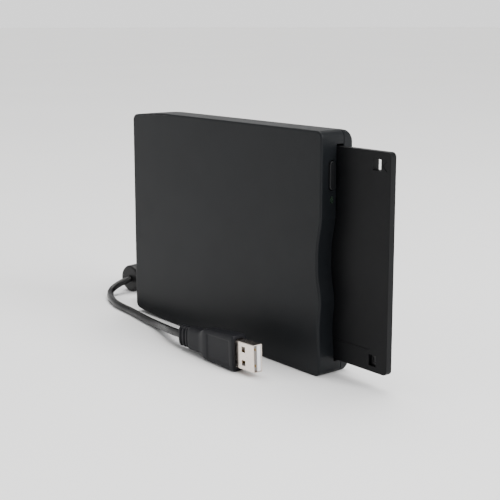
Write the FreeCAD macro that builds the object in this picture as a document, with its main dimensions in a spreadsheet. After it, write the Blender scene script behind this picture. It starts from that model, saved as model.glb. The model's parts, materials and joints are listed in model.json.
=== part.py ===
import FreeCAD, Part
import math, os, re

# External 3.5-inch diskette drive standing on one of its long narrow sides, with a diskette
# half out of the slot, a captive lead, a ferrite bead on the lead and a flat four-contact plug.
# Millimetres. +X is the front with the slot, -Y the large plain face, +Z up.
# Origin: on the resting plane, under the middle of the drive with its diskette.

V = FreeCAD.Vector
doc = FreeCAD.newDocument("diskette_drive")
sheet = doc.addObject("Spreadsheet::Sheet", "Spreadsheet")

P = {
    # case
    "x_front": 54.5, "x_rear": -84.5, "y_near": -9.4, "y_part": 2.9, "y_far": 8.6, "tall": 103.0,
    "wall": 1.6, "x_frontin": 51.3, "x_rearin": -82.7, "y_nearin": -7.8, "y_farin": 7.0,
    "corner_r": 3.0, "side_r": 5.5, "edge_r": 0.9,
    # slot
    "slot_ya": -1.1, "slot_yb": 2.9, "slot_za": 5.6, "slot_zb": 97.4,
    # eject button
    "btn_y": -3.5, "btn_z": 84.7, "btn_long": 12.0, "btn_wide": 3.2, "btn_gap": 0.3,
    # diskette at its rest place
    "dk_xa": -9.5, "dk_xb": 84.5, "dk_za": 6.5, "dk_zb": 96.5, "dk_ya": -0.75, "dk_yb": 2.55,
    "hub_x": 37.5, "hub_z": 51.5, "disc_r": 43.0,
    # drive mechanism
    "ch_xa": -72.0, "ch_xb": 51.0, "ch_za": 4.4, "ch_zb": 98.6, "ch_ya": 6.0, "ch_yb": 6.6,
    "sh_ya": -6.9, "sh_yb": -6.4, "spin_x": 7.5, "spin_z": 51.5, "rotor_r": 19.0,
    "pcb_ya": 5.2, "pcb_yb": 6.0, "rod_r": 1.25, "rod_y": 1.3, "rod_z": 39.0,
    "scr_r": 1.2, "scr_y": 1.0, "scr_z": 64.0,
    # lead and plug
    "lead_d": 3.6, "exit_z": 14.0, "bead_r": 7.3, "bead_l": 22.0,
}
for row, (alias, number) in enumerate(P.items(), 1):
    sheet.set("A%d" % row, alias)
    sheet.set("B%d" % row, "%g" % number)
    sheet.setAlias("B%d" % row, alias)
doc.recompute()


def g(alias):
    return float(getattr(sheet, alias))


def bound(text):
    return re.sub(r"[a-z_]+[a-z]\b", lambda m: "Spreadsheet." + m.group(0) if m.group(0) in P else m.group(0), str(text))


def put(obj, path, text):
    obj.setExpression(path, bound(text))


count = [0]


def label(name):
    if name:
        return name
    count[0] += 1
    return "piece_%03d" % count[0]


def box(xa, xb, ya, yb, za, zb, name=None):
    o = doc.addObject("Part::Box", label(name))
    for ax, prop, a, b in (("x", "Length", xa, xb), ("y", "Width", ya, yb), ("z", "Height", za, zb)):
        put(o, "Placement.Base." + ax, "%s" % a)
        put(o, prop, "(%s)-(%s)" % (b, a))
    return o


TURN = {"x": FreeCAD.Rotation(V(0, 1, 0), 90), "y": FreeCAD.Rotation(V(1, 0, 0), -90), "z": FreeCAD.Rotation()}


def cyl(axis, x, y, z, r, length, name=None):
    o = doc.addObject("Part::Cylinder", label(name))
    o.Placement = FreeCAD.Placement(V(0, 0, 0), TURN[axis])
    put(o, "Radius", r)
    put(o, "Height", length)
    for ax, a in (("x", x), ("y", y), ("z", z)):
        put(o, "Placement.Base." + ax, a)
    return o


def cone(axis, x, y, z, ra, rb, length, name=None):
    o = doc.addObject("Part::Cone", label(name))
    o.Placement = FreeCAD.Placement(V(0, 0, 0), TURN[axis])
    put(o, "Radius1", ra)
    put(o, "Radius2", rb)
    put(o, "Height", length)
    for ax, a in (("x", x), ("y", y), ("z", z)):
        put(o, "Placement.Base." + ax, a)
    return o


def fuse(parts, name=None):
    if len(parts) == 1 and not name:
        return parts[0]
    o = doc.addObject("Part::MultiFuse", label(name))
    o.Shapes = parts
    o.Refine = True
    return o


def cut(base, tools, name=None):
    o = doc.addObject("Part::Cut", label(name))
    o.Base = base
    o.Tool = fuse(tools)
    o.Refine = True
    return o


def common(a, b, name=None):
    o = doc.addObject("Part::Common", label(name))
    o.Base = a
    o.Tool = b
    return o


def group(parts, name):
    o = doc.addObject("Part::Compound", name)
    o.Links = parts
    return o


def rounded(base, test, radius, name=None):
    doc.recompute()
    o = doc.addObject("Part::Fillet", label(name))
    o.Base = base
    o.Edges = [(i + 1, radius, radius) for i, e in enumerate(base.Shape.Edges) if test(e)]
    return o


def shaped(shape, name=None):
    o = doc.addObject("Part::Feature", label(name))
    o.Shape = shape
    return o


def loop(points, plane, at):
    """Closed polygon in plane xz, xy or yz at the third coordinate."""
    if plane == "xz":
        pts = [V(a, at, b) for a, b in points]
    elif plane == "xy":
        pts = [V(a, b, at) for a, b in points]
    else:
        pts = [V(at, a, b) for a, b in points]
    return Part.Face(Part.makePolygon(pts + [pts[0]]))


def along(edge, axis):
    a, b = edge.Vertexes[0].Point, edge.Vertexes[-1].Point
    d = b.sub(a)
    return abs(getattr(d, axis)) > 0.98 * d.Length > 0


NODES = []


def node(obj, name=None):
    if name:
        obj.Label = name
    NODES.append(obj)
    return obj


# --------------------------------------------------------------------------- bodies from sketches
def body(name):
    return doc.addObject("PartDesign::Body", name)


def sketch(b, role, offset, geometry):
    s = b.newObject("Sketcher::SketchObject", label(None))
    base = [f for f in b.Origin.OriginFeatures if f.Role == role][0]
    s.AttachmentSupport = [(base, "")]
    s.MapMode = "FlatFace"
    s.AttachmentOffset = FreeCAD.Placement(V(0, 0, offset), FreeCAD.Rotation())
    s.addGeometry(geometry, False)
    return s


def lines(points):
    pts = [V(a, b, 0) for a, b in points]
    return [Part.LineSegment(pts[i], pts[(i + 1) % len(pts)]) for i in range(len(pts))]


def pad(b, s, length, back=False):
    f = b.newObject("PartDesign::Pad", label(None))
    f.Profile = s
    put(f, "Length", length)
    f.Reversed = back
    return f


def pocket(b, s, length, back=False):
    f = b.newObject("PartDesign::Pocket", label(None))
    f.Profile = s
    put(f, "Length", length)
    f.Reversed = back
    return f


def arc(a, m, b):
    return Part.Arc(V(a[0], a[1], 0), V(m[0], m[1], 0), V(b[0], b[1], 0))


def pill(cx, cy, wide, tall):
    r = wide / 2.0
    h = tall / 2.0 - r
    return [Part.LineSegment(V(cx - r, cy - h, 0), V(cx - r, cy + h, 0)),
            arc((cx - r, cy + h), (cx, cy + h + r), (cx + r, cy + h)),
            Part.LineSegment(V(cx + r, cy + h, 0), V(cx + r, cy - h, 0)),
            arc((cx + r, cy - h), (cx, cy - h - r), (cx - r, cy - h))]


# outline of the large faces: round corners, and both long sides drawn in near the rear
XF, XR, HT, RC = g("x_front"), g("x_rear"), g("tall"), g("corner_r")


def case_outline():
    k = RC * (1 - math.sqrt(0.5))
    xt, zt = -53.5, 1.8
    rt = ((XR + 2.8 - xt) ** 2 + zt ** 2) / (2 * zt)
    xm = (xt + XR + 2.8) / 2
    zm = rt - math.sqrt(rt ** 2 - (xm - xt) ** 2)
    low = [("L", (XF - RC, 0), (xt, 0)), ("A", (xt, 0), (xm, zm), (XR + 2.8, zt)),
           ("A", (XR + 2.8, zt), (XR + 0.85, 2.72), (XR, 4.9))]
    out = [arc((XF, RC), (XF - k, k), (XF - RC, 0))]
    for s in low:
        out.append(Part.LineSegment(V(s[1][0], s[1][1], 0), V(s[2][0], s[2][1], 0)) if s[0] == "L" else arc(*s[1:]))
    out.append(Part.LineSegment(V(XR, 4.9, 0), V(XR, HT - 4.9, 0)))
    for s in reversed(low):
        q = [(p[0], HT - p[1]) for p in s[1:]]
        out.append(Part.LineSegment(V(q[1][0], q[1][1], 0), V(q[0][0], q[0][1], 0)) if s[0] == "L" else arc(q[2], q[1], q[0]))
    out.append(arc((XF - RC, HT), (XF - k, HT - k), (XF, HT - RC)))
    out.append(Part.LineSegment(V(XF, HT - RC, 0), V(XF, RC, 0)))
    return out


XI, XJ = g("x_frontin"), g("x_rearin")
INNER = [(XI, 1.6), (-55.0, 1.6), (-80.3, 3.5), (XJ, 5.8), (XJ, HT - 5.8), (-80.3, HT - 3.5), (-55.0, HT - 1.6), (XI, HT - 1.6)]

# --------------------------------------------------------------------------- near cover
near = body("cover_near_body")
pad(near, sketch(near, "XZ_Plane", -g("y_near"), case_outline()), "y_part-y_near", True)
pocket(near, sketch(near, "XZ_Plane", -g("y_nearin"), lines(INNER)), "y_part-y_nearin")
SA, SB, ZA, ZB = g("slot_ya"), g("slot_yb"), g("slot_za"), g("slot_zb")
pocket(near, sketch(near, "YZ_Plane", XF + 0.5, lines([(SA, ZA), (SB + 1, ZA), (SB + 1, ZB), (SA, ZB)])), "x_front-x_frontin+1")
pocket(near, sketch(near, "YZ_Plane", XF + 0.5, pill(g("btn_y"), g("btn_z"), g("btn_wide") + 2 * g("btn_gap"), g("btn_long") + 2 * g("btn_gap"))), "x_front-x_frontin+1")
pocket(near, sketch(near, "YZ_Plane", XF + 0.5, pill(-3.5, 74.6, 1.6, 3.0)), "x_front-x_frontin+1")
# shallow wavy finger notch in the front edge, over the large face and the near lip of the slot
wave = [(0.30, 70.5), (0.0, 67.0), (-0.95, 61.5), (-1.95, 56.0), (-2.20, 49.5), (-1.95, 43.0), (-0.95, 37.5), (-0.05, 32.5),
        (-0.10, 29.5), (-0.65, 25.0), (-0.85, 20.0), (-0.65, 15.0), (-0.10, 9.5), (0.30, 6.5)]
curve = Part.BSplineCurve()
curve.interpolate([V(XF + a, b, 0) for a, b in wave])
first, last = (XF + wave[0][0], wave[0][1]), (XF + wave[-1][0], wave[-1][1])
notch = [curve, Part.LineSegment(V(last[0], last[1], 0), V(XF + 3, last[1], 0)),
         Part.LineSegment(V(XF + 3, last[1], 0), V(XF + 3, first[1], 0)), Part.LineSegment(V(XF + 3, first[1], 0), V(first[0], first[1], 0))]
pocket(near, sketch(near, "XZ_Plane", -(g("y_near") - 0.5), notch), "slot_ya-y_near+0.5")
doc.recompute()
tip = near.Tip
names = ["Edge%d" % (i + 1) for i, e in enumerate(tip.Shape.Edges)
         if all(abs(v.Point.y - g("y_near")) < 1e-4 for v in e.Vertexes) and abs(e.CenterOfMass.y - g("y_near")) < 1e-4]
f = near.newObject("PartDesign::Fillet", "near_edge")
f.Base = (tip, names)
put(f, "Radius", "edge_r")
doc.recompute()
posts = [cyl("y", -77.6, "y_nearin-0.2", z, 3.0, "y_part-y_nearin+0.2") for z in (10.4, 92.6)]
lugs = [box(47.3, "x_frontin+0.2", -3.3, -0.45, 3.9, 5.7), box(47.3, "x_frontin+0.2", -3.3, -0.45, 97.3, 99.1)]
holes = [cyl("y", -77.6, -2.0, z, 0.85, 6.0) for z in (10.4, 92.6)]
holes += [cyl("z", 48.75, -1.38, 3.0, 0.4, 97.0), cyl("x", -86.0, "y_part", "exit_z", 3.2, 6.0)]
node(cut(fuse([near] + posts + lugs), holes, "cover_near"))

# --------------------------------------------------------------------------- far cover
far = body("cover_far_body")
pad(far, sketch(far, "XZ_Plane", -g("y_part"), case_outline()), "y_far-y_part", True)
rim = Part.Face(Part.Wire(Part.__sortEdges__([q.toShape() for q in case_outline()])))
rim = rim.cut(rim.makeOffset2D(-0.3))
rim.rotate(V(0, 0, 0), V(1, 0, 0), 90)
rim.translate(V(0, g("y_part"), 0))
seam = shaped(rim.extrude(V(0, 0.3, 0)), "parting_groove")
block = box("x_rear", "x_front", -20, "y_far", 0, "tall")
long_r = rounded(block, lambda e: abs(e.CenterOfMass.y - g("y_far")) < 1e-6 and along(e, "x"), g("side_r"))
end_r = rounded(long_r, lambda e: abs(e.CenterOfMass.y - g("y_far")) < 1e-6 and along(e, "z"), 1.6)
room = box("x_rear-5", "x_front+5", -20, "y_farin", "wall", "tall-wall")
room_r = rounded(room, lambda e: abs(e.CenterOfMass.y - g("y_farin")) < 1e-6 and along(e, "x"), g("side_r") - 1.6)
hollow = common(shaped(loop(INNER, "xz", -15).extrude(V(0, 40, 0))), room_r)
FX = ((-77.6, 10.4), (-77.6, 92.6))
MX = ((-47.0, 8.0), (-47.0, 95.0), (34.0, 8.0), (34.0, 95.0))
stand = [cyl("y", x, "ch_yb", z, 2.6, "y_farin-ch_yb+0.3") for x, z in MX] + [cyl("y", x, "y_part", z, 3.0, "y_farin-y_part+0.3") for x, z in FX]
thru = [cyl("y", x, 0, z, 1.25, 12.0) for x, z in FX + MX] + [cyl("y", x, 7.3, z, 2.35, 3.0) for x, z in FX + MX]
thru += [cyl("x", -86.0, "y_part", "exit_z", 3.2, 6.0)]
vents = [box(-62.0 + 5.0 * i, -60.0 + 5.0 * i, 6.5, 9.5, 38.0, 65.0) for i in range(5)]
node(cut(fuse([cut(common(far, end_r), [hollow])] + stand), thru + vents + [seam], "cover_far"))

# --------------------------------------------------------------------------- eject button and its slide plate
btn = body("eject_button_body")
pad(btn, sketch(btn, "YZ_Plane", 48.5, pill(g("btn_y"), g("btn_z"), g("btn_wide"), g("btn_long"))), 6.8)
doc.recompute()
btn_r = rounded(btn, lambda e: abs(e.CenterOfMass.x - 55.3) < 1e-4, 0.45)
node(fuse([btn_r, box(43.5, 49.0, -3.9, -2.4, 81.5, 87.9)], "eject_button"))
plate = box(-40.0, 42.0, -2.4, -1.9, 8.0, 95.0)
tongue = box(41.0, 46.5, -2.4, -1.9, 80.5, 88.9)
wins = [box(-41.0, -2.0, -3.0, -1.0, 41.0, 62.5), box(6.0, 34.0, -3.0, -1.0, 22.0, 44.0), box(6.0, 34.0, -3.0, -1.0, 58.0, 74.0)]
tabs = [box(-40.6, -40.0, -4.4, -1.9, z, z + 4.0) for z in (10.0, 89.0)]
node(cut(fuse([plate, tongue] + tabs), wins, "eject_plate"))


def coil(axis, start, radius, wire, turns, length, name):
    """Helical extension spring with straight end legs."""
    helix = Part.makeHelix(length / turns, length, radius)
    w = Part.Wire(helix.Edges)
    p0 = V(radius, 0, 0)
    prof = Part.Wire([Part.makeCircle(wire / 2, p0, V(0, 1, 0))])
    s = w.makePipeShell([prof], True, True)
    o = shaped(s, name)
    o.Placement = FreeCAD.Placement(V(*start), TURN[axis])
    return o


node(group([coil("x", (-68.6, -3.6, z), 1.1, 0.4, 9, 26.6, None) for z in (12.0, 91.0)], "eject_springs"))

# trigger lever over the plate, with its post on the shield
lever = fuse([cyl("y", -32.0, -3.4, 88.0, 3.0, 0.6),
              shaped(loop([(-33.8, 89.2), (-30.2, 90.0), (-10.6, 71.0), (-13.4, 68.2)], "xz", -3.4).extrude(V(0, 0.6, 0))),
              cyl("y", -12.0, -3.4, 69.6, 2.2, 0.6), cyl("y", -12.0, -2.9, 69.6, 1.1, 0.25)])
node(cut(lever, [cyl("y", -32.0, -4.0, 88.0, 1.05, 2.0)], "trigger_lever"))
node(fuse([cyl("y", -32.0, "sh_yb", 88.0, 1.6, 2.7), cyl("y", -32.0, -3.8, 88.0, 1.0, 1.0)], "lever_post"))

# --------------------------------------------------------------------------- status light and its window
window = shaped(Part.Face(Part.Wire(Part.Shape(pill(0, 0, 1.4, 2.8)).Edges)).extrude(V(0, 0, 3.9)), "light_window")
window.Placement = FreeCAD.Placement(V(50.8, -3.5, 74.6), FreeCAD.Rotation(V(0, 1, 0), V(0, 0, 1), V(1, 0, 0), "XYZ"))
node(window)
node(fuse([box(48.4, 50.8, -4.4, -2.6, 73.0, 76.2), box(47.0, 48.4, -3.9, -3.6, 73.4, 73.8), box(47.0, 48.4, -3.9, -3.6, 75.4, 75.8)], "status_light"))

# --------------------------------------------------------------------------- slot flap
node(fuse([box(44.3, 48.6, -1.58, -1.06, 7.0, 96.0), cyl("z", 48.75, -1.38, 4.3, 0.34, 94.4)], "slot_flap"))

# --------------------------------------------------------------------------- diskette: shell halves, sliding shutter, tab, disc, hub
DXA, DXB, DZA, DZB, DYA, DYB, DYM = g("dk_xa"), g("dk_xb"), g("dk_za"), g("dk_zb"), g("dk_ya"), g("dk_yb"), 0.9


def shell_outline():
    r, c = 2.0, 2.0 * (1 - math.sqrt(0.5))
    a, b, lo, hi = DXA, DXB, DZA, DZB
    return [Part.LineSegment(V(a + r, lo, 0), V(b - r, lo, 0)), arc((b - r, lo), (b - c, lo + c), (b, lo + r)),
            Part.LineSegment(V(b, lo + r, 0), V(b, hi - r, 0)), arc((b, hi - r), (b - c, hi - c), (b - r, hi)),
            Part.LineSegment(V(b - r, hi, 0), V(a + 5.5, hi, 0)), Part.LineSegment(V(a + 5.5, hi, 0), V(a, hi - 5.5, 0)),
            Part.LineSegment(V(a, hi - 5.5, 0), V(a, lo + r, 0)), arc((a, lo + r), (a + c, lo + c), (a + r, lo))]


def half(name, ya, yb, outer):
    b = body(name + "_body")
    pad(b, sketch(b, "XZ_Plane", -ya, shell_outline()), yb - ya, True)
    doc.recompute()
    tip = b.Tip
    names = ["Edge%d" % (i + 1) for i, e in enumerate(tip.Shape.Edges)
             if abs(e.CenterOfMass.y - outer) < 1e-5 and all(abs(v.Point.y - outer) < 1e-5 for v in e.Vertexes)]
    f = b.newObject("PartDesign::Fillet", name + "_edge")
    f.Base = (tip, names)
    f.Radius = 0.35
    return b


HX, HZ, HM = g("hub_x"), g("hub_z"), 0.9
through = [box("dk_xa+4.5", "dk_xa+29", -3, 5, 47.0, 56.0), box(75.0, 79.4, -3, 5, 88.8, 93.4), box(74.7, 78.7, -3, 5, 9.0, 13.6)]
seat = [cyl("y", "hub_x", 0.35, "hub_z", "disc_r+0.6", 1.1), box("dk_xa-0.5", "dk_xa+0.3", -1, 3, 22.0, 81.0)]
arrow = [shaped(loop([(80.0, 90.9), (82.6, 93.2), (82.6, 88.6)], "xz", DYA - 0.5).extrude(V(0, 0.7, 0)))]
grips = [box(58.0 + 2.2 * i, 59.0 + 2.2 * i, DYB - 0.2, DYB + 1, 30.0, 73.0) for i in range(8)]
node(cut(half("disk_shell_near", DYA, DYM, DYA), through + seat + arrow +
         [box(12.0, 74.9, DYA - 1, DYA + 0.2, 15.5, 87.6), box("dk_xa-1", "dk_xa+31.5", DYA - 1, DYA + 0.3, 22.0, 81.0)], "disk_shell_near"))
node(cut(half("disk_shell_far", DYM, DYB, DYB), through + seat + grips + [cyl("y", "hub_x", 1.0, "hub_z", 14.0, 3.0), box(74.2, 79.2, DYM - 0.1, DYB - 0.6, 7.6, 18.4),
         box("dk_xa-1", "dk_xa+31.5", DYB - 0.3, DYB + 1, 22.0, 81.0)], "disk_shell_far"))
cover = [box("dk_xa", "dk_xa+31", DYA + 0.02, DYA + 0.22, 36.5, 66.5), box("dk_xa", "dk_xa+31", DYB - 0.22, DYB - 0.02, 36.5, 66.5), box("dk_xa", "dk_xa+0.22", DYA + 0.02, DYB - 0.02, 36.5, 66.5)]
node(cut(fuse(cover), [box("dk_xa+4", "dk_xa+29", -3, 5, 38.0, 46.0)], "disk_shutter"))
node(cut(box(74.5, 78.9, DYM + 0.05, DYB - 0.65, 8.0, 14.2), [box(75.5, 77.9, DYM - 0.1, DYM + 0.4, 10.2, 12.4)], "disk_tab"))
node(cut(cyl("y", "hub_x", 0.86, "hub_z", "disc_r", 0.1), [cyl("y", "hub_x", 0.0, "hub_z", 12.4, 3.0), ], "disk_disc"))
hub_plate = fuse([cyl("y", "hub_x", 1.45, "hub_z", 12.6, 0.4), cyl("y", "hub_x", 0.7, "hub_z", 12.3, 0.8)])
node(cut(hub_plate, [box("hub_x-2", "hub_x+2", 0, 4, "hub_z-2", "hub_z+2"), box("hub_x-11.4", "hub_x-7.6", 0, 4, "hub_z-1.9", "hub_z+1.9")], "disk_hub"))
liner = [cut(cyl("y", "hub_x", a, "hub_z", "disc_r", 0.2), [cyl("y", "hub_x", a - 1, "hub_z", 15.0, 3.0), box("dk_xa", "dk_xa+31", -3, 5, 45.5, 57.5)]) for a in (0.4, 1.2)]
node(group(liner, "disk_liners"))

# --------------------------------------------------------------------------- chassis, shield, holder
floor = box("ch_xa", 46.5, "ch_ya", "ch_yb", "ch_za", "ch_zb")
sides = [box("ch_xa", 46.5, "sh_yb", "ch_ya+0.1", "ch_za", "ch_za+0.7"), box("ch_xa", 46.5, "sh_yb", "ch_ya+0.1", "ch_zb-0.7", "ch_zb"),
         box("ch_xa", "ch_xa+0.7", -4.5, "ch_ya+0.1", "ch_za", 22.0), box("ch_xa", "ch_xa+0.7", -4.5, "ch_ya+0.1", 33.0, 60.0)]
open_floor = [cyl("y", x, 5.0, z, 1.0, 3.0) for x, z in MX] + [cyl("y", "spin_x", 5.0, "spin_z", 5.0, 3.0),
              box(-58.0, -20.0, 5.0, 8.0, 20.0, 32.0), box(-30.0, 2.0, 5.0, 8.0, 74.0, 88.0), box(16.0, 40.0, 5.0, 8.0, 14.0, 30.0)]
node(cut(fuse([floor] + sides), open_floor, "chassis"))
top = box("ch_xa+1", 46.5, "sh_ya", "sh_yb", "ch_za", "ch_zb")
node(cut(top, [cyl("y", "spin_x", -8.0, "spin_z", 9.0, 3.0), box(-62.0, -44.0, -8.0, -5.0, 34.0, 58.0)] + [cyl("y", x, -8.0, z, 1.4, 3.0) for x, z in ((-60.0, 12.0), (-60.0, 91.0), (40.0, 12.0), (40.0, 91.0))], "top_shield"))
hold = [box(-38.0, 43.5, -1.6, -1.1, 5.5, 97.5), box(-38.0, 43.5, -1.6, 3.3, 5.5, 6.0), box(-38.0, 43.5, -1.6, 3.3, 97.0, 97.5),
        box(-38.0, 43.5, 2.9, 3.3, 5.5, 10.0), box(-38.0, 43.5, 2.9, 3.3, 93.0, 97.5)]
node(cut(fuse(hold), [box(-38.5, -8.0, -3.0, 0.0, 43.0, 60.0), box(2.0, 38.0, -3.0, 0.0, 30.0, 72.0)], "disk_holder"))
node(group([cyl("z", x, 0.9, z, 0.8, 0.4) for x in (-30.0, 34.0) for z in (5.1, 97.5)], "holder_pins"))

# --------------------------------------------------------------------------- spindle motor
SX, SZ = "spin_x", "spin_z"
cup = [cyl("y", SX, 3.7, SZ, "rotor_r", 0.4), cut(cyl("y", SX, 3.7, SZ, "rotor_r", 1.2), [cyl("y", SX, 3.5, SZ, "rotor_r-0.8", 2.0)])]
node(fuse(cup, "spindle_rotor"))
chuck = [cyl("y", SX, 3.35, SZ, 12.0, 0.35), cyl("y", SX, 2.9, SZ, 1.9, 0.45), cyl("y", "spin_x-9.5", 2.9, SZ, 0.9, 0.45)]
node(fuse(chuck, "spindle_chuck"))
node(cyl("y", SX, 4.1, SZ, 1.5, 1.9, "spindle_shaft"))
node(cut(fuse([cyl("y", SX, 4.5, SZ, 3.4, 1.5), cyl("y", SX, 5.2, SZ, 4.9, 0.8)]), [cyl("y", SX, 4.0, SZ, 1.54, 3.0)], "spindle_bearing"))
teeth = []
for i in range(9):
    a = math.radians(40 * i)
    t = box(-2.0, 2.0, 4.45, 5.15, 8.6, 15.6)
    t.Placement = FreeCAD.Placement(V(0, 0, 0), FreeCAD.Rotation())
    for prop in ("Placement.Base.x", "Placement.Base.y", "Placement.Base.z"):
        t.setExpression(prop, None)
    rot = FreeCAD.Rotation(V(0, 1, 0), math.degrees(a))
    t.Placement = FreeCAD.Placement(V(g("spin_x"), 0, g("spin_z")), rot).multiply(FreeCAD.Placement(V(-2.0, 4.45, 8.6), FreeCAD.Rotation()))
    teeth.append(t)
ring = cut(cyl("y", SX, 4.55, SZ, 9.0, 0.6), [cyl("y", SX, 4.0, SZ, 6.0, 3.0)])
rim = cut(cyl("y", SX, 4.55, SZ, 16.6, 0.6), [cyl("y", SX, 4.0, SZ, 15.4, 3.0)])
node(fuse([ring, rim] + teeth, "spindle_stator"))

# --------------------------------------------------------------------------- boards, chips, flat cable
node(cut(box(-61.0, 46.0, "pcb_ya", "pcb_yb", 11.0, 92.0), [cyl("y", SX, 4.0, SZ, 4.95, 4.0), box(-62.0, -56.0, 4.0, 7.0, 11.0, 30.0)], "main_board"))
chips = [box(-27.0, -16.0, 4.0, "pcb_ya", 74.0, 85.0), box(-34.0, -24.0, 4.1, "pcb_ya", 17.0, 27.0), box(-2.0, 4.0, 4.3, "pcb_ya", 20.0, 25.0),
         box(30.0, 37.0, 4.2, "pcb_ya", 78.0, 84.0), box(34.0, 38.0, 4.0, "pcb_ya", 20.0, 27.0)]
small = [box(-8.0 + 5 * i, -6.4 + 5 * i, 4.6, "pcb_ya", 14.0 + 3 * (i % 2), 16.2 + 3 * (i % 2)) for i in range(6)]
node(group(chips + small, "board_chips"))
node(cut(box(-60.5, -56.5, 3.9, "pcb_ya", 68.6, 88.4), [box(-61.0, -58.5, 4.35, 4.95, 69.6, 87.4)], "ribbon_socket"))
node(box(-82.3, -73.2, 5.2, 6.0, 20.0, 88.8, "link_board"))
node(group([box(-80.5, -74.5, 4.1, 5.2, 44.0, 50.0), box(-80.2, -75.2, 2.4, 5.2, 54.0, 64.5), box(-79.5, -77.5, 4.4, 5.2, 34.0, 36.0),
            box(-79.5, -77.5, 4.4, 5.2, 38.0, 40.0), box(-77.6, -73.6, 3.9, 5.2, 68.6, 88.4)], "link_chips"))
node(shaped(loop([(-73.6, 4.5), (-73.6, 4.7), (-58.5, 4.7), (-58.5, 4.5)], "xy", 70.0).extrude(V(0, 0, 17.0)), "flat_cable"))

# --------------------------------------------------------------------------- head carriage, rods, screw and its motor
RY, RZ = "rod_y", "rod_z"
carriage = [box(-59.0, -50.0, -4.2, 4.6, 34.0, 56.0), box(-54.0, -50.0, -2.0, 4.6, 55.0, 68.0)]
node(cut(fuse(carriage), [cyl("x", -60.0, RY, RZ, "rod_r+0.03", 12.0), cyl("x", -60.0, "scr_y", "scr_z", "scr_r+0.1", 12.0),
                          box(-60.0, -49.5, -6.0, -2.2, 44.6, 58.0)], "head_carriage"))
node(fuse([box(-50.0, -27.0, 3.4, 4.3, 47.0, 56.0), box(-28.0, -20.5, 3.4, 4.0, 48.5, 54.5), box(-26.0, -22.0, 2.88, 3.45, 50.0, 53.0)], "lower_head"))
arm = fuse([box(-57.4, -26.0, -3.9, -3.1, 47.0, 56.0), box(-28.0, -20.5, -3.6, -2.8, 48.5, 54.5), box(-26.0, -22.0, -2.85, -1.12, 50.0, 53.0),
            cyl("z", -56.4, -3.5, 46.2, 0.9, 10.6), cyl("z", -56.4, -3.5, 44.9, 0.5, 13.2)])
node(arm, "upper_head")
ears = fuse([box(-59.0, -54.4, -5.3, -4.8, 40.0, 58.0), box(-58.4, -54.4, -5.0, -2.5, 45.2, 45.8), box(-58.4, -54.4, -5.0, -2.5, 57.2, 57.8), box(-59.0, -55.5, -5.0, -4.2, 40.0, 44.2)])
node(cut(ears, [cyl("z", -56.4, -3.5, 44.0, 0.56, 15.0)], "arm_bracket"))
node(cyl("x", -70.6, RY, RZ, "rod_r", 30.3, "guide_rod"))
node(group([cut(box(-71.3, -69.3, -1.2, "ch_ya", 36.6, 41.4), [cyl("x", -70.6, RY, RZ, "rod_r", 4.0)]),
            cut(box(-42.2, -40.3, -0.9, 5.2, 36.8, 41.2), [cyl("x", -43.0, RY, RZ, "rod_r", 2.7)])], "rod_clamps"))
can = fuse([cyl("x", -71.2, "scr_y", "scr_z", 4.8, 8.4), box(-62.8, -62.2, -3.8, 5.1, 59.4, 68.6)])
node(cut(can, [cyl("x", -66.0, "scr_y", "scr_z", 1.3, 5.0)], "step_motor"))
node(cyl("x", -65.6, "scr_y", "scr_z", "scr_r", 24.3, "lead_screw"))
node(cut(box(-42.1, -40.4, -1.6, 5.2, 61.6, 66.4), [cyl("x", -43.0, "scr_y", "scr_z", 1.27, 1.9)], "screw_bearing"))
node(group([box(-47.0, -43.0, 1.5, 5.2, 72.0, 76.0), box(-47.0, -43.0, 1.5, 5.2, 22.0, 26.0), box(-71.2, -67.0, 1.0, 5.2, 46.0, 54.0)], "sensor_switches"))

# --------------------------------------------------------------------------- screws and feet


def screw(x, z, head_y, length, r):
    head = cyl("y", x, head_y - 1.25, z, 2.1, 1.25)
    shank = cyl("y", x, head_y - 1.25 - length, z, r, length + 0.1)
    cross = [box(x - 1.3, x + 1.3, head_y - 0.7, head_y + 0.5, z - 0.3, z + 0.3), box(x - 0.3, x + 0.3, head_y - 0.7, head_y + 0.5, z - 1.3, z + 1.3)]
    return cut(fuse([head, shank]), cross)


node(group([screw(x, z, 8.55, 7.6, 0.85) for x, z in FX] + [screw(x, z, 8.55, 1.6, 1.0) for x, z in MX], "case_screws"))
node(group([rounded(cyl("y", x, "y_far", z, 4.0, 0.8), lambda e: abs(e.CenterOfMass.y - 9.4) < 1e-4, 0.35)
            for x in (-66.0, 46.0) for z in (14.0, 89.0)], "rubber_feet"))

# --------------------------------------------------------------------------- lead, strain relief, bead and plug
relief = fuse([cyl("x", -84.5, "y_part", "exit_z", 3.15, 2.0), cyl("x", -82.7, "y_part", "exit_z", 4.0, 1.5), cone("x", -90.5, "y_part", "exit_z", 2.7, 4.0, 6.0)])
node(cut(relief, [cut(cyl("x", -89.6 + 1.7 * i, "y_part", "exit_z", 5.0, 0.7), [cyl("x", -90.0 + 1.7 * i, "y_part", "exit_z", 2.45 + 0.15 * i, 2.0)]) for i in range(3)], "strain_relief"))

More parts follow.
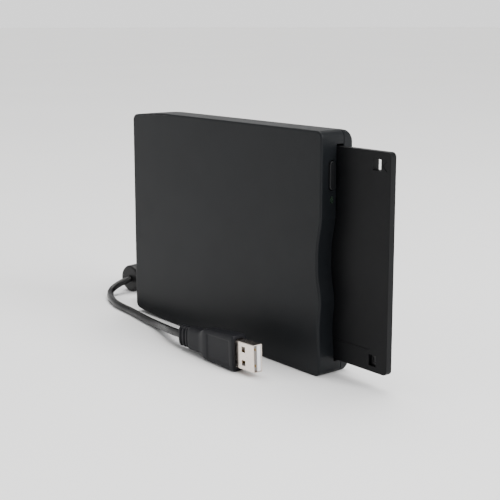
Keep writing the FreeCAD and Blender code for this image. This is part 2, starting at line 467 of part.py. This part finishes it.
LD = g("lead_d")
BEAD_A, BEAD_B = V(-123.3, 31.2, 7.32), V(-120.0, 9.5, 7.32)
INNER_LEAD = [(-90.5, 2.9, 14.0), (-100.5, 3.2, 14.0), (-107.4, 10.6, 12.6), (-108.2, 21.4, 9.4), (-104.8, 33.2, 5.2), (-100.6, 44.4, 2.4),
              (-99.9, 55.2, 1.82), (-107.1, 62.9, 1.82), (-117.7, 63.2, 2.1), (-125.3, 55.9, 4.3), (-124.9, 42.8, 7.0), (-123.3, 31.2, 7.32)]
OUTER_LEAD = [(-120.0, 9.5, 7.32), (-120.1, 2.9, 5.7), (-118.7, -3.6, 3.2), (-112.4, -8.0, 1.9), (-103.4, -12.0, 1.81), (-92.4, -14.9, 1.82),
              (-78.6, -15.9, 1.81), (-63.4, -18.5, 1.84), (-50.0, -20.3, 2.2), (-38.0, -23.6, 3.7), (-26.6, -27.9, 5.6), (-15.0, -29.2, 6.45)]


def tube(points, diameter, name):
    pts = [V(*p) for p in points]
    edges, here, smallest = [], pts[0], 1e9
    for i in range(1, len(pts) - 1):
        a, b = pts[i].sub(pts[i - 1]), pts[i + 1].sub(pts[i])
        short = min(a.Length, b.Length)
        half_turn = a.getAngle(b) / 2
        r = 0.45 * short / math.tan(half_turn)
        smallest = min(smallest, r)
        print("%s point %d: run %.1f, turn %.1f deg, radius %.1f mm (%.1f diameters)" % (name, i, b.Length, math.degrees(2 * half_turn), r, r / diameter))
        p = pts[i].sub(V(a).normalize().multiply(0.45 * short))
        q = pts[i].add(V(b).normalize().multiply(0.45 * short))
        inward = V(b).normalize().sub(V(a).normalize()).normalize()
        m = pts[i].add(inward.multiply(r / math.cos(half_turn) - r))
        edges += [Part.LineSegment(here, p).toShape(), Part.Arc(p, m, q).toShape()]
        here = q
    edges.append(Part.LineSegment(here, pts[-1]).toShape())
    wire = Part.Wire(edges)
    start = V(pts[1].sub(pts[0]))
    prof = Part.Wire([Part.makeCircle(diameter / 2, pts[0], start)])
    s = wire.makePipeShell([prof], True, False)
    want = math.pi * diameter ** 2 / 4 * wire.Length
    print("%s: length %.1f mm, volume %.1f against %.1f, smallest radius %.1f" % (name, wire.Length, s.Volume, want, smallest))
    return shaped(s, name)


node(tube(INNER_LEAD, LD, "lead_inner"))
node(tube(OUTER_LEAD, LD, "lead_outer"))
axis = V(BEAD_B).sub(BEAD_A).normalize()
bead = Part.makeCylinder(g("bead_r"), BEAD_A.distanceToPoint(BEAD_B), BEAD_A, axis)
bead = bead.makeFillet(1.3, [e for e in bead.Edges if e.Closed and len(e.Vertexes) == 1 and abs(e.Length - 2 * math.pi * g("bead_r")) < 0.01])
node(shaped(bead, "ferrite_bead"))

PB = V(-15.0, -29.2, 6.45)
PR = FreeCAD.Rotation(V(0, 1, 0), -2.1)


def rider(obj):
    obj.Placement = FreeCAD.Placement(PB, PR)
    return obj


side = [(7.0, -5.2), (16.0, -5.2), (19.6, -6.6), (22.0, -7.15), (41.6, -7.9), (41.6, 7.9), (22.0, 7.15), (19.6, 6.6), (16.0, 5.2), (7.0, 5.2)]
plan = [(7.0, -2.9), (16.0, -3.1), (20.5, -3.9), (41.6, -4.1), (41.6, 4.1), (20.5, 3.9), (16.0, 3.1), (7.0, 2.9)]
grip = loop(side, "xz", -6).extrude(V(0, 12, 0)).common(loop(plan, "xy", -10).extrude(V(0, 0, 20)))
for radius, low in ((0.9, 20.6), (0.7, 21.0), (0.5, 21.0)):
    soft = [e for e in grip.Edges if e.Length > 4.0 and min(v.Point.x for v in e.Vertexes) > low and e.Vertexes[0].Point.x != e.Vertexes[-1].Point.x]
    trial = grip.makeFillet(radius, soft)
    if trial.isValid() and trial.Volume > 0.9 * grip.Volume:
        print("plug body edges rounded by", radius, "on", len(soft))
        grip = trial
        break
ribs = [Part.makeBox(1.5, 5.4, 9.4, V(x, -2.7, -4.7)) for x in (0.0, 2.5, 5.0)]
core = Part.makeBox(7.2, 4.2, 7.6, V(0.2, -2.1, -3.8))
grip = grip.fuse(ribs + [core]).removeSplitter()
grip = grip.cut(Part.makeBox(4.0, 4.7, 12.3, V(38.0, -2.35, -6.15)))
node(rider(shaped(grip, "plug_grip")))
can = Part.makeBox(15.6, 4.5, 12.0, V(38.0, -2.25, -6.0))
can = can.makeFillet(0.5, [e for e in can.Edges if along(e, "x")])
can = can.cut(Part.makeBox(14.9, 3.9, 11.4, V(38.9, -1.95, -5.7)))
for z in (-2.9, 2.9):
    can = can.cut(Part.makeBox(2.4, 12.0, 2.4, V(45.6, -6.0, z - 1.2)))
node(rider(shaped(can, "plug_shell")))
tongue_p = Part.makeBox(14.2, 1.84, 11.2, V(38.9, 0.06, -5.6))
node(rider(shaped(tongue_p, "plug_tongue")))
pins = Part.Compound([Part.makeBox(8.8 if i in (0, 3) else 7.8, 0.25, 1.0, V(43.4, -0.19, z - 0.5)) for i, z in enumerate((-3.5, -1.0, 1.0, 3.5))])
node(rider(shaped(pins, "plug_contacts")))

# --------------------------------------------------------------------------- check and write
doc.recompute()
for o in doc.Objects:
    if "Invalid" in o.State or "Error" in o.State:
        raise SystemExit("failed object: %s %s" % (o.Label, o.State))
seen = set()
for o in NODES:
    s = o.Shape
    if s.isNull() or not s.isValid() or not s.Solids:
        raise SystemExit("bad shape: " + o.Label)
    if o.Label in seen:
        raise SystemExit("name twice: " + o.Label)
    seen.add(o.Label)
os.makedirs("parts", exist_ok=True)
for o in NODES:
    o.Shape.exportStep("parts/%s.step" % o.Label)
    b = o.Shape.BoundBox
    print("%-18s solids %d volume %9.1f  x %.2f..%.2f y %.2f..%.2f z %.2f..%.2f" % (o.Label, len(o.Shape.Solids), o.Shape.Volume, b.XMin, b.XMax, b.YMin, b.YMax, b.ZMin, b.ZMax))
print(len(NODES), "nodes")
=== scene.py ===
import json
import math

import bpy
import bmesh
from mathutils import Matrix, Vector


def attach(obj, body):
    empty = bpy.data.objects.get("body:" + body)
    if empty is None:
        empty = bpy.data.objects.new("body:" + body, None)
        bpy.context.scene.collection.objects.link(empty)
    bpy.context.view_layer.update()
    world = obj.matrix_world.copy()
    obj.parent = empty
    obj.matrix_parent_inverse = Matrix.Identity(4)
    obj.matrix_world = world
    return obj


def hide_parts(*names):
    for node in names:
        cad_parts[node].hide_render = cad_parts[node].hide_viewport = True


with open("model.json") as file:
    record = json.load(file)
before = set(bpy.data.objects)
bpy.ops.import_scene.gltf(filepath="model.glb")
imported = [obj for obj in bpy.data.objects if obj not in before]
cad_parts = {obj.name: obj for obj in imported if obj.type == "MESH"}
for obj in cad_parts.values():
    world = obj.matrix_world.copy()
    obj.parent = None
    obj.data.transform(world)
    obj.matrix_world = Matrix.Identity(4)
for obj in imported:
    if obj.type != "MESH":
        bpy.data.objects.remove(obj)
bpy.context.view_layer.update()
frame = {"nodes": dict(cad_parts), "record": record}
NODES = frame["nodes"]
MM = 0.001
root = bpy.context.scene.collection

# ------------------------------------------------------------------ camera
lens = bpy.data.cameras.new("camera")
lens.sensor_width = 36.0
lens.lens = 1076.39 / 500.0 * 36.0
lens.shift_y = -0.06
lens.clip_start, lens.clip_end = 0.01, 50.0
camera = bpy.data.objects.new("camera", lens)
camera.location = (0.371029, -0.301562, 0.145261)
camera.rotation_euler = (math.radians(90.0 - 10.321), 0.0, math.radians(51.111))
root.objects.link(camera)
bpy.context.scene.camera = camera

# ------------------------------------------------------------------ the lead, in two lengths with the bead between them
INNER_LEAD = [(-90.5, 2.9, 14.0), (-100.5, 3.2, 14.0), (-107.4, 10.6, 12.6), (-108.2, 21.4, 9.4), (-104.8, 33.2, 5.2), (-100.6, 44.4, 2.4),
              (-99.9, 55.2, 1.82), (-107.1, 62.9, 1.82), (-117.7, 63.2, 2.1), (-125.3, 55.9, 4.3), (-124.9, 42.8, 7.0), (-123.3, 31.2, 7.32)]
OUTER_LEAD = [(-120.0, 9.5, 7.32), (-120.1, 2.9, 5.7), (-118.7, -3.6, 3.2), (-112.4, -8.0, 1.9), (-103.4, -12.0, 1.81), (-92.4, -14.9, 1.82),
              (-78.6, -15.9, 1.81), (-63.4, -18.5, 1.84), (-50.0, -20.3, 2.2), (-38.0, -23.6, 3.7), (-26.6, -27.9, 5.6), (-15.0, -29.2, 6.45)]


def lead(name, points):
    data = bpy.data.curves.new(name, "CURVE")
    data.dimensions = "3D"
    data.bevel_depth = 1.0
    data.bevel_resolution = 8
    data.resolution_u = 14
    spline = data.splines.new("NURBS")
    spline.points.add(len(points) - 1)
    for p, q in zip(spline.points, points):
        p.co = (q[0] * MM, q[1] * MM, q[2] * MM, 1.0)
        p.radius = 1.8 * MM
    spline.order_u = 3
    spline.use_endpoint_u = True
    o = bpy.data.objects.new(name, data)
    root.objects.link(o)
    return o


lead_a = lead("lead_inner_line", INNER_LEAD)
lead_b = lead("lead_outer_line", OUTER_LEAD)
for piece, node, slot in ((lead_a, "lead_inner", "lead_rubber"), (lead_b, "lead_outer", "lead_rubber")):
    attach(piece, "base")
    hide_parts(node)



# ------------------------------------------------------------------ the plug's moulded grip
PLUG = Matrix.Translation((-15.0 * MM, -29.2 * MM, 6.45 * MM)) @ Matrix.Rotation(math.radians(-2.1), 4, "Y")


def ease(t):
    t = max(0.0, min(1.0, t))
    return t * t * (3.0 - 2.0 * t)


def ring_at(x, hy, hz, power, steps=128):
    """One cross-section of the grip: a rounded rectangle, in millimetres along the plug."""
    out = []
    for i in range(steps):
        a = 2.0 * math.pi * (i + 0.5) / steps
        c, s = math.cos(a), math.sin(a)
        out.append((x, hy * math.copysign(abs(c) ** (2.0 / power), c), hz * math.copysign(abs(s) ** (2.0 / power), s)))
    return out


def grip_stations():
    rows = []
    for start in (0.0, 2.5, 5.0):
        for dx, k in ((0.0, -0.38), (0.12, -0.16), (0.32, 0.0), (1.18, 0.0), (1.38, -0.16), (1.5, -0.38)):
            rows.append((start + dx, 2.72 + k, 4.75 + k, 3.2))
        if start < 5.0:
            rows += [(start + 1.56, 2.1, 3.8, 3.0), (start + 2.44, 2.1, 3.8, 3.0)]
    rows += [(6.56, 2.25, 4.2, 3.2), (6.9, 2.3, 4.4, 3.4), (7.0, 2.6, 4.85, 3.6), (7.25, 2.8, 5.1, 3.8), (7.7, 2.88, 5.18, 4.0)]
    x = 8.5
    while x < 41.0:
        flare = ease((x - 15.4) / 5.6)
        hy = 2.9 + 0.2 * (x - 8.5) / 8.0 if x < 16.0 else 3.08
        rows.append((x, hy + (3.9 - 3.08) * flare + 0.2 * ease((x - 21.0) / 20.0), 5.2 + 1.75 * flare + 0.95 * ease((x - 20.0) / 22.0), 4.0 + 2.2 * flare))
        x += 0.5
    rows += [(41.0, 4.1, 7.9, 6.2), (41.3, 4.05, 7.85, 6.0), (41.5, 3.9, 7.7, 5.8), (41.6, 3.65, 7.45, 5.6)]
    rows += [(41.6, 3.0, 6.8, 5.6), (41.6, 2.5, 6.3, 6.0), (41.3, 2.42, 6.2, 8.0), (40.6, 2.40, 6.16, 10.0), (39.2, 2.36, 6.12, 12.0)]
    return rows


def build_grip():
    bm = bmesh.new()
    rows = []
    for x, hy, hz, power in grip_stations():
        line = []
        for px, py, pz in ring_at(x, hy, hz, power):
            if 22.6 < px < 39.8:
                panel = ease((px - 22.8) / 0.7) * ease((39.6 - px) / 0.7) * ease((5.75 - abs(pz)) / 0.6)
                py -= math.copysign(0.28 * panel, py)
            line.append(bm.verts.new(PLUG @ Vector((px * MM, py * MM, pz * MM))))
        rows.append(line)
    for a, b in zip(rows, rows[1:]):
        for i in range(len(a)):
            j = (i + 1) % len(a)
            bm.faces.new((a[i], a[j], b[j], b[i]))
    bm.faces.new(rows[0])
    bm.faces.new(list(reversed(rows[-1])))
    bmesh.ops.recalc_face_normals(bm, faces=bm.faces)
    for f in bm.faces:
        f.smooth = len(f.verts) == 4
    mesh = bpy.data.meshes.new("grip_moulding")
    bm.to_mesh(mesh)
    bm.free()
    o = bpy.data.objects.new("grip_moulding", mesh)
    root.objects.link(o)
    return o


grip = build_grip()
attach(grip, "base")
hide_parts("plug_grip")


# ------------------------------------------------------------------ materials
class Look:
    """A Principled material with helpers for its procedural inputs."""

    def __init__(self, name, color, rough, metallic=0.0):
        self.m = bpy.data.materials.new(name)
        self.m.use_nodes = True
        self.n, self.l = self.m.node_tree.nodes, self.m.node_tree.links
        self.b = next(k for k in self.n if k.type == "BSDF_PRINCIPLED")
        self.b.inputs["Base Color"].default_value = (*color, 1.0)
        self.b.inputs["Roughness"].default_value = rough
        self.b.inputs["Metallic"].default_value = metallic
        self.color, self.rough = color, rough
        self.at = self.n.new("ShaderNodeTexCoord").outputs["Object"]
        self.normal = None

    def where(self, scale=(1.0, 1.0, 1.0), shift=(0.0, 0.0, 0.0), turn=(0.0, 0.0, 0.0)):
        k = self.n.new("ShaderNodeMapping")
        k.inputs["Location"].default_value = shift
        k.inputs["Rotation"].default_value = turn
        k.inputs["Scale"].default_value = scale
        self.l.new(self.at, k.inputs["Vector"])
        return k.outputs["Vector"]

    def noise(self, size_mm, detail=3.0, rough=0.55, at=None, distort=0.0):
        k = self.n.new("ShaderNodeTexNoise")
        k.inputs["Scale"].default_value = 1000.0 / size_mm
        k.inputs["Detail"].default_value = detail
        k.inputs["Roughness"].default_value = rough
        k.inputs["Distortion"].default_value = distort
        self.l.new(at or self.at, k.inputs["Vector"])
        return k.outputs["Fac"]

    def cells(self, size_mm, at=None, feature="F1"):
        k = self.n.new("ShaderNodeTexVoronoi")
        k.feature = feature
        k.inputs["Scale"].default_value = 1000.0 / size_mm
        self.l.new(at or self.at, k.inputs["Vector"])
        return k.outputs["Distance"]

    def wave(self, size_mm, direction="X", kind="BANDS", at=None, distort=0.0, profile="SIN"):
        k = self.n.new("ShaderNodeTexWave")
        k.wave_type = kind
        k.wave_profile = profile
        if kind == "BANDS":
            k.bands_direction = direction
        else:
            k.rings_direction = direction
        k.inputs["Scale"].default_value = 1000.0 / size_mm / 20.0 * 2.0 * math.pi / 2.0
        k.inputs["Distortion"].default_value = distort
        k.inputs["Detail"].default_value = 0.0
        self.l.new(at or self.at, k.inputs["Vector"])
        return k.outputs["Fac"]

    def span(self, value, lo, hi, a=0.0, b=1.0):
        k = self.n.new("ShaderNodeMapRange")
        k.inputs["From Min"].default_value, k.inputs["From Max"].default_value = a, b
        k.inputs["To Min"].default_value, k.inputs["To Max"].default_value = lo, hi
        self.l.new(value, k.inputs["Value"])
        return k.outputs["Result"]

    def mix(self, fac, a, b):
        k = self.n.new("ShaderNodeMix")
        k.data_type = "RGBA"
        self.l.new(fac, k.inputs["Factor"])
        for socket, v in ((k.inputs[6], a), (k.inputs[7], b)):
            if isinstance(v, tuple):
                socket.default_value = (*v, 1.0)
            else:
                self.l.new(v, socket)
        return k.outputs[2]

    def maths(self, op, a, b):
        k = self.n.new("ShaderNodeMath")
        k.operation = op
        for socket, v in zip(k.inputs, (a, b)):
            if isinstance(v, (int, float)):
                socket.default_value = v
            else:
                self.l.new(v, socket)
        return k.outputs[0]

    def paint(self, out):
        self.l.new(out, self.b.inputs["Base Color"])
        return self

    def gloss(self, out):
        self.l.new(out, self.b.inputs["Roughness"])
        return self

    def bump(self, height, depth_mm, strength=1.0):
        k = self.n.new("ShaderNodeBump")
        k.inputs["Strength"].default_value = strength
        k.inputs["Distance"].default_value = depth_mm * MM
        self.l.new(height, k.inputs["Height"])
        if self.normal is not None:
            self.l.new(self.normal, k.inputs["Normal"])
        self.normal = k.outputs["Normal"]
        self.l.new(self.normal, self.b.inputs["Normal"])
        return self

    def set(self, **values):
        for k, v in values.items():
            self.b.inputs[k.replace("_", " ")].default_value = v
        return self


def shade(c, k):
    return tuple(min(1.0, v * k) for v in c)


def plastic(name, color, rough, grain_mm=0.35, depth=0.03, vary=0.16, spec=0.5, tint=None):
    """Moulded plastic: spark-eroded grain, faint clouding from the mould and slightly uneven gloss."""
    k = Look(name, color, rough)
    k.set(Specular_IOR_Level=spec)
    cloud = k.noise(38.0, 4.0, 0.6)
    fine = k.noise(grain_mm, 3.0, 0.6)
    k.paint(k.mix(k.span(k.maths("ADD", cloud, k.maths("MULTIPLY", fine, 0.35)), 0.0, 1.0, 0.35, 1.0), shade(color, 1.0 - vary), tint or shade(color, 1.0 + vary)))
    k.gloss(k.span(k.maths("ADD", k.noise(11.0, 3.0), k.maths("MULTIPLY", k.noise(grain_mm * 2.2, 2.0), 0.5)), rough - 0.02, rough + 0.03, 0.45, 1.05))
    k.bump(k.maths("ADD", fine, k.maths("MULTIPLY", k.cells(grain_mm * 1.7), 0.6)), depth)
    return k


def sheet_metal(name, color, rough, along=(1.0, 1.0, 1.0), streak_mm=0.25, depth=0.004, spots=0.0):
    """Rolled or drawn metal: streaks along the grain, light staining and small marks."""
    k = Look(name, color, rough, 1.0)
    at = k.where(scale=along)
    streak = k.noise(streak_mm, 4.0, 0.65, at)
    stain = k.noise(14.0, 4.0, 0.6)
    k.paint(k.mix(k.span(stain, 0.0, 1.0, 0.35, 0.68), shade(color, 0.86), shade(color, 1.06)))
    k.gloss(k.span(k.maths("ADD", streak, k.maths("MULTIPLY", stain, 0.4)), rough - 0.08, rough + 0.12, 0.4, 1.0))
    k.bump(streak, depth)
    if spots:
        k.bump(k.span(k.cells(spots), 0.0, 1.0, 0.0, 0.25), depth * 2.0)
    return k


M = {}
M["case"] = plastic("case_charcoal", (0.0043, 0.0052, 0.0064), 0.45, 0.30, 0.028, 0.20, 0.16)
M["button"] = plastic("button_black", (0.0050, 0.0053, 0.0060), 0.44, 0.22, 0.012, 0.12, 0.18)
M["flap_plastic"] = plastic("flap_black", (0.006, 0.006, 0.0065), 0.5, 0.25, 0.015)
M["disk_plastic"] = plastic("diskette_black", (0.0033, 0.0035, 0.0041), 0.44, 0.26, 0.022, 0.16, 0.12)
M["tab_plastic"] = plastic("tab_black", (0.010, 0.010, 0.0105), 0.4, 0.2, 0.01)
M["carriage_plastic"] = plastic("carriage_grey", (0.045, 0.046, 0.05), 0.5, 0.3, 0.02)
M["chip"] = plastic("chip_moulding", (0.018, 0.018, 0.019), 0.42, 0.12, 0.006)
M["bead_plastic"] = plastic("bead_black", (0.0055, 0.0055, 0.0058), 0.40, 0.28, 0.02, 0.14, 0.26)
M["grip_plastic"] = plastic("plug_grip_grey", (0.0066, 0.0068, 0.0088), 0.46, 0.24, 0.02, 0.12, 0.16)
M["tongue_plastic"] = plastic("plug_tongue_white", (0.70, 0.70, 0.72), 0.42, 0.3, 0.008, 0.05, 0.5)

k = Look("lead_pvc", (0.0060, 0.0060, 0.0062), 0.32)
k.set(Specular_IOR_Level=0.22)
cloud = k.noise(6.0, 4.0, 0.6)
k.paint(k.mix(k.span(cloud, 0.0, 1.0, 0.35, 0.7), (0.0048, 0.0048, 0.0050), (0.0080, 0.0080, 0.0082)))
k.gloss(k.span(k.noise(2.4, 4.0), 0.27, 0.38, 0.35, 0.7)).bump(k.noise(0.5, 3.0), 0.012).bump(k.noise(5.0, 2.0), 0.02)
M["lead_rubber"] = k

k = Look("foot_rubber", (0.014, 0.014, 0.014), 0.78)
k.paint(k.mix(k.span(k.noise(1.2, 4.0), 0.0, 1.0, 0.35, 0.7), (0.010, 0.010, 0.010), (0.024, 0.0235, 0.023)))
k.gloss(k.span(k.noise(0.8, 3.0), 0.68, 0.9)).bump(k.noise(0.25, 4.0), 0.03)
M["foot_rubber"] = k

k = Look("light_lens", (0.010, 0.018, 0.012), 0.12)
k.set(Coat_Weight=0.4, Coat_Roughness=0.06, IOR=1.49)
k.paint(k.mix(k.span(k.noise(0.9, 3.0), 0.0, 1.0, 0.3, 0.7), (0.007, 0.012, 0.008), (0.014, 0.026, 0.017)))
k.gloss(k.span(k.noise(0.5, 2.0), 0.08, 0.2)).bump(k.noise(0.35, 2.0), 0.006)
M["lens"] = k

M["sheet_steel"] = sheet_metal("zinc_sheet", (0.50, 0.51, 0.53), 0.34, (0.04, 1.0, 1.0), 0.22, 0.004, 2.6)
M["spring_steel"] = sheet_metal("bright_steel", (0.60, 0.60, 0.61), 0.24, (0.05, 1.0, 1.0), 0.12, 0.002)
M["shutter_metal"] = sheet_metal("shutter_steel", (0.58, 0.585, 0.60), 0.27, (1.0, 1.0, 0.03), 0.16, 0.003)
M["screw_steel"] = sheet_metal("screw_zinc", (0.34, 0.34, 0.355), 0.33, (1.0, 1.0, 1.0), 0.18, 0.006)
M["bearing_brass"] = sheet_metal("sintered_brass", (0.60, 0.44, 0.20), 0.42, (1.0, 1.0, 1.0), 0.10, 0.008)
M["plug_metal"] = sheet_metal("nickel_shell", (0.82, 0.735, 0.665), 0.20, (0.06, 1.0, 1.0), 0.14, 0.0016, 1.9)
M["contact_gold"] = sheet_metal("gold_flash", (0.83, 0.62, 0.26), 0.22, (0.08, 1.0, 1.0), 0.10, 0.002)

k = Look("coated_film", (0.030, 0.019, 0.014), 0.2)
at = k.where(shift=(-0.0375, 0.0, -0.0515))
rings = k.wave(0.35, "Y", "RINGS", at)
k.paint(k.mix(k.span(k.noise(16.0, 3.0), 0.0, 1.0, 0.35, 0.7), (0.024, 0.015, 0.011), (0.040, 0.026, 0.020)))
k.gloss(k.span(rings, 0.16, 0.26)).bump(rings, 0.0015)
M["disc_film"] = k

k = Look("pressed_fibre", (0.62, 0.62, 0.60), 0.9)
k.set(Sheen_Weight=0.25)
fibre = k.noise(0.5, 5.0, 0.7, k.where(scale=(0.25, 1.0, 1.0)), 1.5)
k.paint(k.mix(k.span(fibre, 0.0, 1.0, 0.35, 0.65), (0.48, 0.48, 0.46), (0.72, 0.72, 0.70))).bump(fibre, 0.05)
M["liner"] = k

k = Look("motor_windings", (0.45, 0.22, 0.10), 0.35, 0.8)
wind = k.wave(0.45, "Y", "BANDS")
k.paint(k.mix(wind, (0.30, 0.12, 0.05), (0.66, 0.34, 0.16))).gloss(k.span(k.noise(1.0), 0.28, 0.5)).bump(wind, 0.05)
M["coil_core"] = k

k = Look("solder_mask", (0.015, 0.090, 0.040), 0.3)
k.set(Coat_Weight=0.3, Coat_Roughness=0.12)
lanes = k.n.new("ShaderNodeTexBrick")
lanes.inputs["Scale"].default_value = 260.0
lanes.inputs["Mortar Size"].default_value = 0.045
lanes.inputs["Color1"].default_value = (0.012, 0.075, 0.034, 1.0)
lanes.inputs["Color2"].default_value = (0.016, 0.098, 0.044, 1.0)
lanes.inputs["Mortar"].default_value = (0.030, 0.150, 0.062, 1.0)
k.l.new(k.where(turn=(math.radians(90.0), 0.0, 0.0)), lanes.inputs["Vector"])
k.paint(lanes.outputs["Color"])
k.gloss(k.span(k.noise(4.0), 0.22, 0.42)).bump(lanes.outputs["Fac"], 0.02).bump(k.noise(0.3, 3.0), 0.004)
M["board"] = k

k = Look("flat_film", (0.62, 0.63, 0.66), 0.28)
lanes = k.wave(1.0, "Z", "BANDS")
k.paint(k.mix(k.span(lanes, 0.0, 1.0, 0.35, 0.65), (0.74, 0.74, 0.72), (0.40, 0.42, 0.46))).gloss(k.span(k.noise(2.0), 0.2, 0.4)).bump(lanes, 0.03)
M["ribbon"] = k

k = Look("head_ceramic", (0.30, 0.285, 0.26), 0.3)
k.paint(k.mix(k.span(k.cells(0.35), 0.0, 1.0, 0.0, 0.5), (0.25, 0.235, 0.215), (0.37, 0.35, 0.32))).gloss(k.span(k.noise(0.7), 0.22, 0.4)).bump(k.noise(0.2, 3.0), 0.004)
M["head_ceramic"] = k

SLOT = {s["node"]: s["material_slot"] for s in frame["record"]["subparts"]}
for name, obj in NODES.items():
    for place in obj.material_slots:
        place.material = M[SLOT[name]].m
for piece in (lead_a, lead_b):
    piece.data.materials.append(M["lead_rubber"].m)
grip.data.materials.append(M["grip_plastic"].m)

# ------------------------------------------------------------------ floor, light
ground = bpy.data.meshes.new("floor")
bm = bmesh.new()
bmesh.ops.create_grid(bm, x_segments=24, y_segments=24, size=40.0)
bm.to_mesh(ground)
bm.free()
floor = bpy.data.objects.new("floor", ground)
floor.location = (0.0, 0.0, 0.0)
root.objects.link(floor)
k = Look("floor_pale", (0.90, 0.90, 0.90), 0.7)
k.set(Specular_IOR_Level=0.1)
k.paint(k.mix(k.span(k.noise(420.0, 3.0), 0.0, 1.0, 0.3, 0.7), (0.885, 0.885, 0.885), (0.905, 0.905, 0.905)))
ground.materials.append(k.m)

world = bpy.data.worlds.new("studio")
bpy.context.scene.world = world
world.use_nodes = True
sky = next(n for n in world.node_tree.nodes if n.type == "BACKGROUND")
sky.inputs["Color"].default_value = (1.0, 1.0, 1.0, 1.0)
rise = world.node_tree.nodes.new("ShaderNodeTexCoord").outputs["Generated"]
split = world.node_tree.nodes.new("ShaderNodeSeparateXYZ")
fade = world.node_tree.nodes.new("ShaderNodeMapRange")
fade.inputs["From Min"].default_value, fade.inputs["From Max"].default_value = 0.06, 0.40
fade.inputs["To Min"].default_value, fade.inputs["To Max"].default_value = 1.45, 0.38
world.node_tree.links.new(rise, split.inputs["Vector"])
world.node_tree.links.new(split.outputs["Z"], fade.inputs["Value"])
world.node_tree.links.new(fade.outputs["Result"], sky.inputs["Strength"])


def softbox(name, at, to, wide, tall, power, color=(1.0, 1.0, 1.0)):
    data = bpy.data.lights.new(name, "AREA")
    data.shape = "RECTANGLE"
    data.size, data.size_y = wide, tall
    data.energy = power
    data.color = color
    o = bpy.data.objects.new(name, data)
    o.location = at
    o.rotation_euler = (Vector(to) - Vector(at)).to_track_quat("-Z", "Y").to_euler()
    root.objects.link(o)
    return o


sun = bpy.data.lights.new("soft_sun", "SUN")
sun.energy = 3.6
sun.angle = math.radians(48.0)
sun.color = (1.0, 0.99, 0.975)
sun_at = bpy.data.objects.new("soft_sun", sun)
sun_at.rotation_euler = (Vector((0.0, 0.0, 0.0)) - Vector((-0.25, 0.20, 1.0))).to_track_quat("-Z", "Y").to_euler()
root.objects.link(sun_at)
softbox("left", (-0.9, -1.1, 0.85), (0.0, 0.0, 0.06), 0.9, 0.9, 3.0)
softbox("right", (1.15, 0.15, 0.85), (0.05, 0.0, 0.08), 0.8, 0.8, 26.0)

bpy.context.view_layer.update()
